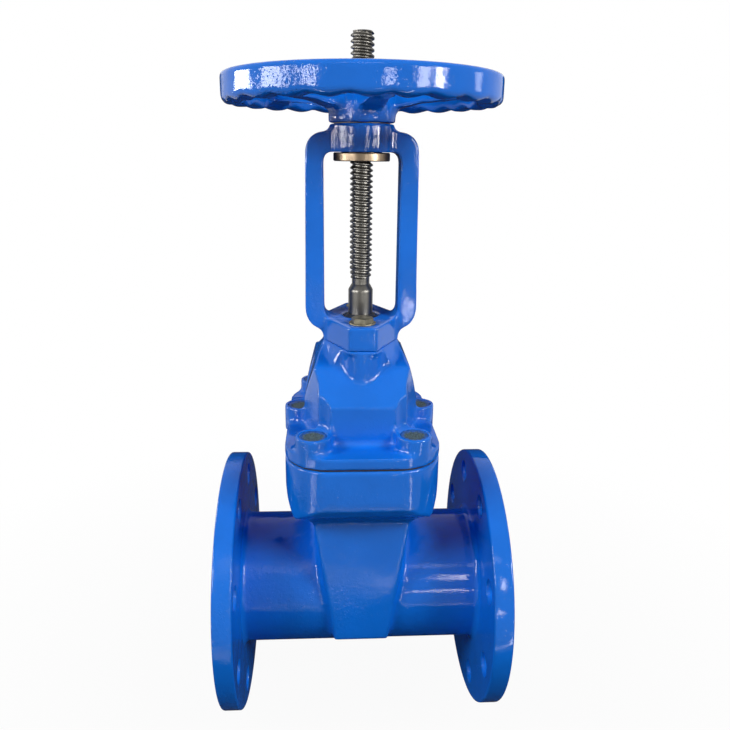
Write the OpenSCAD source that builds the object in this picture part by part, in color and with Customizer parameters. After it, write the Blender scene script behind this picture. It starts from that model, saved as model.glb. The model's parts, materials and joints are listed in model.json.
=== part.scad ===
// Rising-stem resilient-seated gate valve with round flanges and a handwheel.
// Origin: centre of the inlet flange's sealing face. +X runs with the flow, +Z up the stem.

/* [Flanges and pipe] */
// Length over the two sealing faces
face_to_face = 234; // [229:1:260]
// Outside diameter of each flange
flange_d = 220; // [214:1:230]
// Thickness of the flange rim, without the raised face
rim_t = 15.5; // [13:0.5:20]
// Height of the raised sealing face
raised_t = 2; // [1:0.5:4]
// Distance of the bolt circle from the edge of the flange
bolt_margin = 20; // [17:0.5:22]
// Distance of the raised face's edge from the bolt circle
raised_margin = 12; // [11:0.5:16]
// Diameter of the flow bore
bore_d = 100; // [96:1:104]
// Wall of the pipe stubs
pipe_wall = 5.5; // [5:0.5:8]
// Fillet between pipe and flange
root_fillet = 5; // [3:0.5:7]
// Diameter of the flange bolt holes
bolt_hole_d = 19; // [14:1:20]
// Number of flange bolts
flange_bolts = 8; // [4:4:12]

/* [Wedge housing] */
// Half width of the housing along the flow at the bore axis
housing_half = 26.5; // [25:0.5:30]
// Widening of the housing for each millimetre of height
housing_slope = 0.143; // [0.1:0.001:0.15]
// Wall of the housing along the flow
housing_wall = 5.5; // [5:0.5:7]
// Wall of the housing's front and rear
housing_end_wall = 7.5; // [5.5:0.5:9]
// Depth below the bore axis at which the housing's front ends
housing_foot = 25; // [20:1:30]

/* [Bonnet joint] */
// Height of the joint above the bore axis
joint_z = 141; // [138:1:146]
// Width of the joint flange along the flow
joint_w = 120; // [119:1:126]
// Depth of the joint flange across the flow
joint_d = 170; // [168:1:176]
// Corner radius of the joint flange
joint_r = 35; // [32:1:38]
// Height of the body's upper box below the joint
box_h = 56; // [52:1:58]
// Thickness of the bonnet's flange
bonnet_flange_t = 9; // [7:0.5:12]
// Thickness of the gasket left showing in the joint
gasket_t = 1.3; // [0.8:0.1:1.5]
// Inset of the gasket from the edge of the joint
gasket_inset = 1.5; // [1:0.1:3]
// Height of the screw bosses above the joint
boss_h = 23; // [20:0.5:26]
// Outside diameter of a screw boss
boss_d = 27; // [25:0.5:28]
// Diameter of the recess over each screw head
recess_d = 20.5; // [20:0.5:23]
// Distance of the corner screws from the joint's side edges
corner_margin_x = 22; // [21:0.5:24]
// Distance of the corner screws from the joint's front and rear edges
corner_margin_y = 17; // [16:0.5:19]
// Distance of the middle screws from the joint's side edges
middle_margin = 11; // [10:0.5:11.5]
// Thread diameter of the bonnet screws
screw_d = 12; // [10:1:12]
// Depth of the screws below the joint
screw_reach = 20; // [16:1:24]
// Gap between a screw head and the wax over it
wax_gap = 1; // [0.5:0.5:3]

/* [Bonnet dome] */
// Half width of the dome along the flow
dome_half = 46; // [45:0.5:48]
// Wall of the dome's front and rear
dome_end_wall = 9.5; // [8.5:0.5:11.5]
// Height of the neck's joint above the dome's slopes
neck_h = 14.5; // [12:0.5:17]
// Amount by which the neck widens down to the dome
neck_flare_w = 7; // [5:0.5:9]
// Height of the dome's front and rear slopes
dome_slope_h = 25; // [22:0.5:28]
// Wall of the dome
dome_wall = 7; // [6:0.5:8]
// Half width of the dome's cavity along the flow
dome_cavity_half = 31; // [30:0.5:32]
// Radius of the wrench pocket beside a boss
pocket_r = 14.5; // [14:0.5:16]

/* [Yoke] */
// Height of the joint between bonnet and yoke
yoke_z = 222; // [220:1:226]
// Thickness of the yoke's foot plate
foot_t = 18.5; // [15:0.5:20]
// Distance of the foot bolts from the stem axis
foot_bolt_y = 32; // [31:0.5:34]
// Reach of the foot plate past its bolts
foot_end = 15.5; // [14:0.5:18]
// Half width of the flat at each end of the foot plate
foot_flat = 10.5; // [8:0.5:12]
// Half width of the foot plate
foot_half = 30; // [29:0.5:32]
// Thread diameter of the foot bolts
foot_bolt_d = 10; // [8:1:12]
// Depth of the foot bolts below the yoke
foot_bolt_reach = 14; // [10:1:16]
// Half width over the yoke's arms at the bottom
arm_out_low = 44; // [43.5:0.5:48]
// Half width over the yoke's arms at the top
arm_out_high = 42.5; // [41:0.5:46]
// Half width of the window between the arms
window_half = 29; // [28:0.5:30]
// Height of the arms' lower bend above the joint
arm_rise = 8; // [5:0.5:10]
// Outside radius of the arms' lower bends
arm_low_r = 17; // [14:1:20]
// Outside radius of the arms' upper bends
arm_high_r = 14; // [10:1:16]
// Radius of the window's corners
window_r = 5; // [3:0.5:8]
// Depth of the arms across the flow
arm_depth = 24; // [22:1:28]
// Height of the underside of the yoke's bridge
bridge_z = 366; // [362:1:372]
// Thickness of the bridge
bridge_t = 14.5; // [12:0.5:18]
// Diameter of the bearing hub on the bridge
hub_d = 49; // [47:0.5:52]
// Height of the bearing hub
hub_h = 20; // [18:0.5:23]

/* [Stem and drive] */
// Diameter of the stem's thread
thread_d = 17.5; // [17:0.5:18.5]
// Pitch of the stem's thread
thread_pitch = 4; // [3:0.5:5]
// Depth of the stem's thread
thread_depth = 1.8; // [1.2:0.1:2]
// Diameter of the plain part of the stem
stem_d = 19.5; // [19:0.5:20.5]
// Height of the top of the stem with the gate closed
stem_top_z = 449.5; // [448:0.5:456]
// Height of the shoulder above the plain part of the stem
shoulder_z = 265.5; // [262:0.5:268]
// Length of the undercut between shoulder and thread
undercut_l = 5; // [4:0.5:7]
// Diameter of the undercut
undercut_d = 14; // [13:0.5:15]
// Diameter of the drive nut's collar
collar_d = 43; // [40:0.5:46]
// Height of the drive nut's collar
collar_h = 6.3; // [5:0.1:8]
// Diameter of the drive nut inside the hub
nut_d = 31; // [29:0.5:33]
// Diameter of the drive nut inside the wheel
drive_d = 26; // [25:0.5:28]
// Thickness of the thrust washer under the wheel
washer_t = 0.8; // [0.6:0.1:2]
// Height of the lock nut over the wheel
lock_nut_h = 8; // [6:0.5:10]
// Width of the wheel's key
key_w = 5; // [4:0.5:6]
// Lift of the gate from closed to open
lift = 104; // [100:1:105]

/* [Handwheel] */
// Outside diameter of the handwheel
wheel_d = 206; // [200:1:230]
// Height of the rim
rim_h = 21; // [18:0.5:24]
// Width of the rim from outside to inside
rim_w = 16; // [14:0.5:20]
// Height of the rim's lower edge above the hub's foot
rim_lift = 11.5; // [9:0.5:14]
// Diameter of the wheel's hub
wheel_hub_d = 50; // [48:0.5:54]
// Height of the wheel's hub
wheel_hub_h = 22; // [20:0.5:26]
// Number of spokes
spokes = 5; // [3:1:6]
// Width of a spoke at the hub
spoke_w = 22; // [16:1:24]
// Height of the spokes' underside above the hub's foot
spoke_lift = 10; // [8:0.5:12]
// Thickness of a spoke
spoke_t = 9; // [7:0.5:11]
// Direction of the first spoke, from the flow axis
first_spoke = -77; // [-90:1:0]
// Number of finger scallops under the rim
scallops = 24; // [18:1:28]
// Depth of a finger scallop
scallop_depth = 2; // [1:0.5:3]
// Share of the rim's edge that the scallops take
scallop_share = 0.8; // [0.5:0.05:0.9]

/* [Gate] */
// Overlap of the gate past the bore
gate_lap = 1.5; // [1:0.5:2]
// Play between the gate and the housing
gate_play = 0.5; // [0.3:0.1:1]
// Half width of the brass nut held in the gate
gate_nut_half = 14; // [13:0.5:15]

/* [Hidden] */
$fn = 96;

eps = 0.01;                                    // overlap that makes a cut clean
fit = 0.05;                                    // radial play of a running fit
hole_play = 0.5;                               // radial play of a clearance hole
stem_x = face_to_face / 2;                     // the stem stands midway between the faces

// Flanges and body
rim_inner_x = raised_t + rim_t;                // inner side of the inlet flange
bolt_circle_d = flange_d - 2 * bolt_margin;
raised_d = bolt_circle_d - 2 * raised_margin;
pipe_r = bore_d / 2 + pipe_wall;
gate_r = bore_d / 2 + gate_lap;                // round lower edge of the gate
cavity_r = gate_r + 2 * gate_play;             // round bottom of the wedge cavity
housing_depth = cavity_r + housing_end_wall;   // half depth of the housing across the flow
housing_sink = 0.3;                            // the housing's underside starts this far inside the pipe
box_low_z = joint_z - box_h;                   // underside of the upper box
housing_top_z = box_low_z + 20;                // the housing ends inside the upper box

// Bonnet and its joint
bonnet_z = joint_z + gasket_t;                 // underside of the bonnet
bonnet_top_z = bonnet_z + bonnet_flange_t;     // top of the bonnet's flange
boss_top_z = joint_z + boss_h;
dome_ledge_z = yoke_z - neck_h;                // upper end of the dome's slopes
dome_shoulder_z = dome_ledge_z - dome_slope_h; // lower end of the dome's slopes
dome_roof_z = yoke_z - 3;                      // the dome's sides close in to the neck here
neck_lip_t = 2.5;                              // lip of the neck under the yoke's foot plate
neck_reach = 14;                               // the neck's bosses reach this far below the ledge
neck_flare_h = neck_h * 0.55;                  // height over which the neck widens
ridge_x = dome_half - 12;                      // ridge between a wrench pocket and the dome's side
wax_drop = 0.8;                                // the wax stays this far below the boss
head_d = screw_d * 1.5;                        // head of a bonnet screw
head_h = screw_d * 0.6;
corner_x = joint_w / 2 - corner_margin_x;      // places of the screws from the stem axis
corner_y = joint_d / 2 - corner_margin_y;
middle_x = joint_w / 2 - middle_margin;
dome_depth = cavity_r + dome_end_wall;         // half depth of the dome across the flow
screw_spots = [[-corner_x, -corner_y], [corner_x, -corner_y], [middle_x, 0],
    [corner_x, corner_y], [-corner_x, corner_y], [-middle_x, 0]];

// Yoke, stem and drive
foot_top_z = yoke_z + foot_t;
foot_side = 8;                                 // half length of the foot plate's straight sides
hub_top_z = bridge_z + hub_h;
bush_r = stem_d / 2 + 4.25;                    // outside radius of the stem bush
bush_low_z = yoke_z - 16;
dome_cavity_z = bush_low_z - 4;                // roof of the dome's cavity
bush_drop = 2;                                 // the wiper ring sits this deep in the foot plate
bolt_washer_h = 1.2;
nut_gap = 0.3;                                 // running gap between collar and bridge
thread_play = 0.3;                             // radial play of the plain bore round the thread
stem_foot_r = stem_d / 2 - 1;                  // foot of the stem in the gate's nut
key_in = 2;                                    // depth of the key in the drive nut

// Handwheel
wheel_z = hub_top_z + washer_t;
wheel_rim_z = wheel_z + rim_lift;
wheel_hub_top_z = wheel_z + wheel_hub_h;
rim_top_r = 3;                                 // bevel of the rim's upper edges
rim_low_r = 5;                                 // bevel of the rim's lower edges
scallop_half = scallop_share * PI * wheel_d / scallops / 2;
scallop_r = (pow(scallop_half, 2) + pow(scallop_depth, 2)) / (2 * scallop_depth);

// Gate
gate_nut_low_z = gate_r + 5.5;
gate_nut_high_z = gate_nut_low_z + 18;
gate_top_z = gate_nut_high_z + 9;              // top of the gate's upper block
gate_nut_depth = 34;                           // depth of the gate nut across the flow
gate_block_depth = gate_nut_depth / 2 + 7;     // half depth of the gate's upper block

// Half width of the housing at height z
function housing_w(z) = housing_half + housing_slope * z;
// Half width of the wedge cavity at height z
function cavity_w(z) = housing_w(z) - housing_wall - 1;
// Points of an arc about [x, z] from angle a to angle b
function arc(x, z, r, a, b) =
    [for (i = [0:6]) let (t = a + (b - a) * i / 6) [x + r * cos(t), z + r * sin(t)]];

// Extrudes an outline of [x, z] points across the flow, centred on y = 0
module across(depth) {
    rotate([90, 0, 0]) linear_extrude(depth, center = true) children();
}

// Extrudes an outline of [y, z] points along the flow, centred on x = 0
module along(width) {
    rotate([90, 0, 90]) linear_extrude(width, center = true) children();
}

// A symmetric outline from the points of its right-hand side, listed upwards
module mirrored_outline(side) {
    last = len(side) - 1;
    polygon(concat(side, [for (i = [last:-1:0]) [-side[i][0], side[i][1]]]));
}

module rounded_rect(w, d, r) {
    square([w - 2 * r, d], center = true);
    square([w, d - 2 * r], center = true);
    for (sx = [-1, 1], sy = [-1, 1])
        translate([sx * (w / 2 - r), sy * (d / 2 - r)]) circle(r);
}

module on_axis() {
    translate([stem_x, 0, 0]) children();
}

module flow_cylinder(x0, length, r) {
    translate([x0, 0, 0]) rotate([0, 90, 0]) cylinder(h = length, r = r);
}

// An upright cylinder from height z0 to height z1
module post(z0, z1, r, sides = $fn) {
    translate([0, 0, z0]) cylinder(h = z1 - z0, r = r, $fn = sides);
}

// ---- Body ----

module flange_blank() {
    flow_cylinder(raised_t, rim_t, flange_d / 2);
    flow_cylinder(0, raised_t + eps, raised_d / 2);
    // root fillet towards the pipe
    translate([rim_inner_x, 0, 0]) rotate([0, 90, 0])
        rotate_extrude() difference() {
            square([pipe_r + root_fillet, root_fillet]);
            translate([pipe_r + root_fillet, root_fillet]) circle(root_fillet);
        }
}

module flange_drillings() {
    for (i = [0:flange_bolts - 1])
        rotate([(i + 0.5) * 360 / flange_bolts, 0, 0])
            translate([0, bolt_circle_d / 2, 0]) flow_cylinder(-1, rim_inner_x + 2, bolt_hole_d / 2);
}

module wedge_housing() {
    // the underside runs from the front's lower edge to the round of the pipe
    r = pipe_r - housing_sink;
    a = atan2(housing_foot, housing_depth) + acos(r / norm([housing_depth, housing_foot]));
    intersection() {
        across(2 * housing_depth) mirrored_outline([
            [housing_w(-pipe_r), -pipe_r], [housing_w(housing_top_z), housing_top_z]]);
        along(2 * housing_w(housing_top_z)) mirrored_outline([
            [r * cos(a), -r * sin(a)], [housing_depth, -housing_foot], [housing_depth, housing_top_z]]);
    }
}

module upper_box() {
    half_w = joint_w / 2;
    half_d = joint_d / 2;
    low = box_low_z;
    intersection() {
        translate([0, 0, low]) linear_extrude(box_h) rounded_rect(joint_w, joint_d, joint_r);
        across(joint_d) mirrored_outline([
            [housing_w(low) - 2, low], [half_w - 18, low + 1.5], [half_w - 9.5, low + 6],
            [half_w - 4.5, low + 14], [half_w - 1.5, low + 23], [half_w, low + 33], [half_w, joint_z]]);
        along(joint_w) mirrored_outline([
            [housing_depth - 2, low], [housing_depth + 2, low + 5], [half_d - 13, low + 11],
            [half_d - 5, low + 17], [half_d - 1, low + 23], [half_d, low + 29], [half_d, joint_z]]);
    }
}

module wedge_cavity() {
    top = joint_z + 1;
    intersection() {
        across(2 * cavity_r + 2) mirrored_outline([
            [cavity_w(-cavity_r), -cavity_r - eps], [cavity_w(top), top]]);
        along(2 * cavity_w(top) + 2) union() {
            circle(cavity_r);
            translate([-cavity_r, 0]) square([2 * cavity_r, top]);
        }
    }
}

module body() {
    color("#1c63c9") difference() {
        union() {
            flange_blank();
            translate([face_to_face, 0, 0]) mirror([1, 0, 0]) flange_blank();
            flow_cylinder(rim_inner_x - eps, face_to_face - 2 * rim_inner_x + 2 * eps, pipe_r);
            on_axis() wedge_housing();
            on_axis() upper_box();
        }
        flow_cylinder(-1, face_to_face + 2, bore_d / 2);
        flange_drillings();
        translate([face_to_face, 0, 0]) mirror([1, 0, 0]) flange_drillings();
        on_axis() wedge_cavity();
        on_axis() for (p = screw_spots) translate(p) post(joint_z - screw_reach, joint_z + 1, screw_d / 2);
    }
}

// ---- Gate, its nut and the stem ----

module gate_nut_block() {
    translate([0, 0, gate_nut_low_z]) linear_extrude(gate_nut_high_z - gate_nut_low_z)
        square([2 * gate_nut_half, gate_nut_depth], center = true);
}

module gate() {
    top = gate_top_z;
    block_half = cavity_w(gate_r) - gate_play;
    color("#1b1c1e") on_axis() difference() {
        intersection() {
            across(2 * gate_r) mirrored_outline([
                [cavity_w(-gate_r) - gate_play, -gate_r], [block_half, gate_r], [block_half, top]]);
            along(2 * block_half) union() {
                circle(gate_r);
                translate([-gate_block_depth, 0]) square([2 * gate_block_depth, top]);
            }
        }
        // slot that the nut slides into from the outlet side
        gate_nut_block();
        translate([0, -gate_nut_depth / 2, gate_nut_low_z])
            cube([block_half + 1, gate_nut_depth, gate_nut_high_z - gate_nut_low_z]);
        post(gate_nut_high_z - 1, top + 1, stem_d / 2 + hole_play);
    }
}

module gate_nut() {
    color("#b08d4a") on_axis() difference() {
        gate_nut_block();
        post(gate_nut_low_z - 1, gate_nut_high_z + 1, stem_foot_r);
    }
}

module stem() {
    thread_r = thread_d / 2;
    root_r = thread_r - thread_depth;
    thread_low = shoulder_z + undercut_l;
    turns = floor((stem_top_z - 2 - thread_low) / thread_pitch);
    crest = [0.35, 0.55];                      // where a thread's crest starts and ends within one pitch
    root = [0.2, 0.7];                         // where its flanks reach the root
    color("#a9a59c") on_axis() rotate_extrude() polygon(concat(
        [[0, gate_nut_low_z], [stem_foot_r - 1, gate_nut_low_z], [stem_foot_r, gate_nut_low_z + 1],
            [stem_foot_r, gate_nut_high_z], [stem_d / 2, gate_nut_high_z],
            [stem_d / 2, shoulder_z - undercut_l], [undercut_d / 2, shoulder_z],
            [undercut_d / 2, thread_low]],
        [for (i = [0:turns - 1], p = [[root_r, root[0]], [thread_r, crest[0]], [thread_r, crest[1]],
            [root_r, root[1]]]) [p[0], thread_low + (i + p[1]) * thread_pitch]],
        [[root_r, stem_top_z], [0, stem_top_z]]));
}

// ---- Bonnet and its joint ----

module bonnet_gasket() {
    color("#15171a") on_axis() translate([0, 0, joint_z]) linear_extrude(gasket_t) difference() {
        rounded_rect(joint_w - 2 * gasket_inset, joint_d - 2 * gasket_inset, joint_r - gasket_inset);
        square([2 * cavity_w(joint_z), 2 * cavity_r], center = true);
        for (p = screw_spots) translate(p) circle(screw_d / 2 + hole_play);
    }
}

// Plan of the dome, with a ridge between each pair of wrench pockets
module dome_plan() {
    right = [[ridge_x, -dome_depth], [ridge_x, -46], [dome_half, -14], [dome_half, 14], [ridge_x, 46],
        [ridge_x, dome_depth]];
    difference() {
        polygon(concat(right, [for (p = right) [-p[0], -p[1]]]));
        for (p = screw_spots) if (p[1] != 0) translate(p) circle(pocket_r);
        for (s = [-1, 1]) translate([s * (middle_x + 2), 0]) circle(boss_d / 2);
    }
}

// Side and front profiles of the dome, set in by its wall for the cavity
module dome_limits(in) {
    low = bonnet_z - 1;
    half = dome_half - in;
    depth = dome_depth - in;
    intersection() {
        across(2 * dome_depth + 2) mirrored_outline([
            [half, low], [half, dome_shoulder_z - 9], [half - 4, dome_shoulder_z + 8],
            [half - 9, dome_ledge_z], [half - 13, dome_ledge_z + 7], [foot_half - in, dome_roof_z]]);
        along(2 * dome_half + 2) mirrored_outline([
            [depth, low], [depth, dome_shoulder_z], [depth - dome_slope_h, dome_ledge_z],
            [depth - dome_slope_h - 4, dome_ledge_z + 1.5], [depth - dome_slope_h - 15, dome_ledge_z + 4.5],
            [12 - in, dome_roof_z]]);
    }
}

// Plan shared by the yoke's foot plate and the neck under it
module foot_plan() {
    end_y = foot_bolt_y + foot_end;
    polygon([[foot_half, -foot_side], [foot_half, foot_side], [foot_flat, end_y], [-foot_flat, end_y],
        [-foot_half, foot_side], [-foot_half, -foot_side], [-foot_flat, -end_y], [foot_flat, -end_y]]);
}

// Neck's plan without the bosses at its two ends
module neck_plan(grown) {
    end_y = dome_depth - dome_slope_h - 1;
    end_x = foot_flat + (foot_bolt_y + foot_end - end_y) * (foot_half - foot_flat)
        / (foot_bolt_y + foot_end - foot_side);
    mirrored_outline([[end_x + grown, -end_y], [foot_half + grown, -foot_side],
        [foot_half + grown, foot_side], [end_x + grown, end_y]]);
}

// Neck widening downwards to the dome's ledge
module neck_flare() {
    flare_top_z = dome_ledge_z + neck_flare_h;
    hull() {
        translate([0, 0, dome_ledge_z - 1]) linear_extrude(1) neck_plan(neck_flare_w);
        translate([0, 0, flare_top_z]) linear_extrude(yoke_z - neck_lip_t / 2 - flare_top_z) neck_plan(0);
    }
}

module bonnet() {
    neck_low_z = dome_ledge_z - neck_reach;
    color("#1c63c9") on_axis() difference() {
        union() {
            translate([0, 0, bonnet_z]) linear_extrude(bonnet_flange_t)
                rounded_rect(joint_w, joint_d, joint_r);
            for (p = screw_spots) translate(p) post(bonnet_z, boss_top_z, boss_d / 2);
            intersection() {
                translate([0, 0, bonnet_z]) linear_extrude(dome_roof_z - bonnet_z) dome_plan();
                dome_limits(0);
            }
            translate([0, 0, yoke_z - neck_lip_t]) linear_extrude(neck_lip_t) foot_plan();
            neck_flare();
            for (s = [-1, 1]) translate([0, s * foot_bolt_y]) post(neck_low_z, yoke_z - 1, foot_end);
        }
        intersection() {
            dome_limits(dome_wall);
            translate([0, 0, bonnet_z - 1]) linear_extrude(dome_cavity_z - bonnet_z + 1)
                rounded_rect(2 * dome_cavity_half, 2 * cavity_r, pocket_r);
        }
        for (p = screw_spots) translate(p) {
            post(bonnet_z - 1, bonnet_top_z + 1, screw_d / 2 + hole_play);
            post(bonnet_top_z, boss_top_z + 1, recess_d / 2);
        }
        post(dome_cavity_z - 1, yoke_z + 1, stem_d / 2 + hole_play);
        post(bush_low_z, yoke_z + 1, bush_r);
        for (s = [-1, 1]) translate([0, s * foot_bolt_y])
            post(yoke_z - foot_bolt_reach, yoke_z + 1, foot_bolt_d / 2);
    }
}

module bonnet_screw(i) {
    color("#8d8f92") on_axis() translate(screw_spots[i]) difference() {
        union() {
            post(bonnet_top_z, bonnet_top_z + head_h, head_d / 2);
            post(joint_z - screw_reach + 1, bonnet_top_z + 1, screw_d / 2);
        }
        // hexagon socket
        post(bonnet_top_z + head_h / 2, bonnet_top_z + head_h + 1, screw_d * 0.45, 6);
    }
}

module screw_wax(i) {
    color("#4b5359") on_axis() translate(screw_spots[i]) difference() {
        post(bonnet_top_z, boss_top_z - wax_drop, recess_d / 2);
        post(bonnet_top_z - 1, bonnet_top_z + head_h + wax_gap, head_d / 2);
    }
}

// ---- Stem seal and yoke ----

module stem_bush() {
    color("#b08d4a") on_axis() difference() {
        post(bush_low_z, foot_top_z - bush_drop, bush_r);
        post(bush_low_z - 1, foot_top_z, stem_d / 2 + fit);
    }
}

module wiper_ring() {
    low = foot_top_z - bush_drop;
    color("#1b1c1e") on_axis() difference() {
        translate([0, 0, low]) cylinder(h = bush_drop + 1.2, r1 = bush_r - 0.5, r2 = stem_d / 2 + 1.2);
        post(low - 1, foot_top_z + 3, stem_d / 2 + fit);
    }
}

module yoke() {
    top_z = bridge_z + bridge_t;
    bend_z = yoke_z + arm_rise;
    color("#1c63c9") on_axis() difference() {
        union() {
            // frame seen from the front, with its window
            across(arm_depth) difference() {
                mirrored_outline(concat([[foot_half, yoke_z], [foot_half, bend_z]],
                    arc(arm_out_low - arm_low_r, bend_z + arm_low_r, arm_low_r, -80, 0),
                    arc(arm_out_high - arm_high_r, top_z - arm_high_r, arm_high_r, 0, 90)));
                hull() for (sx = [-1, 1], z = [foot_top_z + window_r, bridge_z - window_r])
                    translate([sx * (window_half - window_r), z]) circle(window_r, $fn = 32);
            }
            translate([0, 0, yoke_z]) linear_extrude(foot_t) foot_plan();
            post(bridge_z, hub_top_z, hub_d / 2);
        }
        post(bridge_z - 1, hub_top_z + 1, nut_d / 2 + fit);
        post(yoke_z - 1, foot_top_z + 1, bush_r);
        for (s = [-1, 1]) translate([0, s * foot_bolt_y])
            post(yoke_z - 1, foot_top_z + 1, foot_bolt_d / 2 + hole_play);
    }
}

module yoke_washer(side) {
    color("#a8a48f") on_axis() translate([0, side * foot_bolt_y]) difference() {
        post(foot_top_z, foot_top_z + bolt_washer_h, foot_bolt_d * 1.05);
        post(foot_top_z - 1, foot_top_z + bolt_washer_h + 1, foot_bolt_d / 2 + 0.2);
    }
}

module yoke_bolt(side) {
    seat_z = foot_top_z + bolt_washer_h;
    color("#a8a48f") on_axis() translate([0, side * foot_bolt_y]) {
        post(seat_z, seat_z + foot_bolt_d * 0.38, foot_bolt_d * 0.88, 6);
        post(yoke_z - foot_bolt_reach + 1, seat_z + 1, foot_bolt_d / 2);
    }
}

// ---- Drive ----

// Keyway or key between the drive nut and the wheel, from height z0 to height z1
module key_bar(z0, z1) {
    translate([drive_d / 2 - key_in, -key_w / 2, z0]) cube([2 * key_in, key_w, z1 - z0]);
}

module drive_nut() {
    collar_top_z = bridge_z - nut_gap;
    counterbore_z = shoulder_z + lift + 1;     // room for the stem's shoulder with the gate open
    top_z = wheel_hub_top_z + lock_nut_h + 1.5;
    color("#b3976a") on_axis() difference() {
        union() {
            post(collar_top_z - collar_h, collar_top_z, collar_d / 2);
            post(collar_top_z - eps, wheel_z, nut_d / 2);
            post(wheel_z - eps, top_z, drive_d / 2);
        }
        post(collar_top_z - collar_h - 1, top_z + 1, thread_d / 2 + thread_play);
        post(collar_top_z - collar_h - 1, counterbore_z, stem_d / 2 + thread_play);
        key_bar(wheel_z, wheel_hub_top_z);
    }
}

module thrust_washer() {
    color("#6d6f70") on_axis() difference() {
        post(hub_top_z + washer_t / 4, wheel_z - washer_t / 4, hub_d / 2 - 3.5);
        post(hub_top_z - 1, wheel_z + 1, nut_d / 2 + fit);
    }
}

module wheel_key() {
    color("#8d8f92") on_axis() key_bar(wheel_z + 1, wheel_hub_top_z - 1);
}

module lock_nut() {
    color("#8d8f92") on_axis() difference() {
        post(wheel_hub_top_z, wheel_hub_top_z + lock_nut_h, wheel_hub_d * 0.4, 6);
        post(wheel_hub_top_z - 1, wheel_hub_top_z + lock_nut_h + 1, drive_d / 2 + fit);
    }
}

module wheel_rim() {
    r_out = wheel_d / 2;
    r_in = r_out - rim_w;
    difference() {
        translate([0, 0, wheel_rim_z]) rotate_extrude() polygon([
            [r_out - rim_low_r, 0], [r_out - rim_low_r * 0.3, rim_low_r * 0.4], [r_out, rim_low_r * 1.2],
            [r_out, rim_h - rim_top_r], [r_out - rim_top_r, rim_h], [r_in + rim_top_r, rim_h],
            [r_in, rim_h - rim_top_r], [r_in, rim_low_r], [r_in + rim_low_r, 0]]);
        for (i = [0:scallops - 1]) rotate([0, 0, (i + 0.5) * 360 / scallops])
            translate([r_in - 1, 0, wheel_rim_z + scallop_depth - scallop_r]) rotate([0, 90, 0])
                cylinder(h = rim_w + 2, r = scallop_r);
    }
}

module spoke() {
    r_in = wheel_hub_d / 2 - 6;
    r_out = (wheel_d - rim_w) / 2;
    low = wheel_z + spoke_lift;
    rise = wheel_rim_z + (rim_h - spoke_t) / 2 - low;
    half = spoke_w / 2;
    intersection() {
        // side view, arched from the hub up to the rim
        rotate([90, 0, 0]) linear_extrude(spoke_w, center = true) polygon([
            [r_in, low], [r_in + 12, low + 1], [r_in + 24, low + rise * 0.55],
            [r_out - 24, low + rise * 0.92], [r_out, low + rise], [r_out, low + rise + spoke_t],
            [r_out - 26, low + rise * 0.92 + spoke_t], [r_in + 22, low + rise * 0.6 + spoke_t],
            [r_in, low + spoke_t + 3]]);
        // plan, a little wider at the hub
        linear_extrude(wheel_hub_top_z + rim_h) polygon([
            [r_in, -half], [r_in + 20, 3 - half], [r_out, 3 - half], [r_out, half - 3], [r_in + 20, half - 3],
            [r_in, half]]);
    }
}

module handwheel() {
    color("#1c63c9") on_axis() difference() {
        union() {
            wheel_rim();
            post(wheel_z, wheel_hub_top_z, wheel_hub_d / 2);
            for (i = [0:spokes - 1]) rotate([0, 0, first_spoke + i * 360 / spokes]) spoke();
        }
        post(wheel_z - 1, wheel_hub_top_z + 1, drive_d / 2 + fit);
        key_bar(wheel_z - 1, wheel_hub_top_z + 1);
    }
}

body();
gate();
gate_nut();
stem();
bonnet_gasket();
bonnet();
bonnet_screw(0);  // bonnet_screw_1
bonnet_screw(1);  // bonnet_screw_2
bonnet_screw(2);  // bonnet_screw_3
bonnet_screw(3);  // bonnet_screw_4
bonnet_screw(4);  // bonnet_screw_5
bonnet_screw(5);  // bonnet_screw_6
screw_wax(0);  // screw_wax_1
screw_wax(1);  // screw_wax_2
screw_wax(2);  // screw_wax_3
screw_wax(3);  // screw_wax_4
screw_wax(4);  // screw_wax_5
screw_wax(5);  // screw_wax_6
stem_bush();
wiper_ring();
yoke();
yoke_bolt(-1);  // yoke_bolt_front
yoke_bolt(1);  // yoke_bolt_rear
yoke_washer(-1);  // yoke_washer_front
yoke_washer(1);  // yoke_washer_rear
drive_nut();
thrust_washer();
handwheel();
lock_nut();
wheel_key();
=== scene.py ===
"""Looks of a flanged rising-stem gate valve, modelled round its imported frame."""
import json
import math

import bmesh
import bpy
from mathutils import Matrix, Vector, noise

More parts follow.
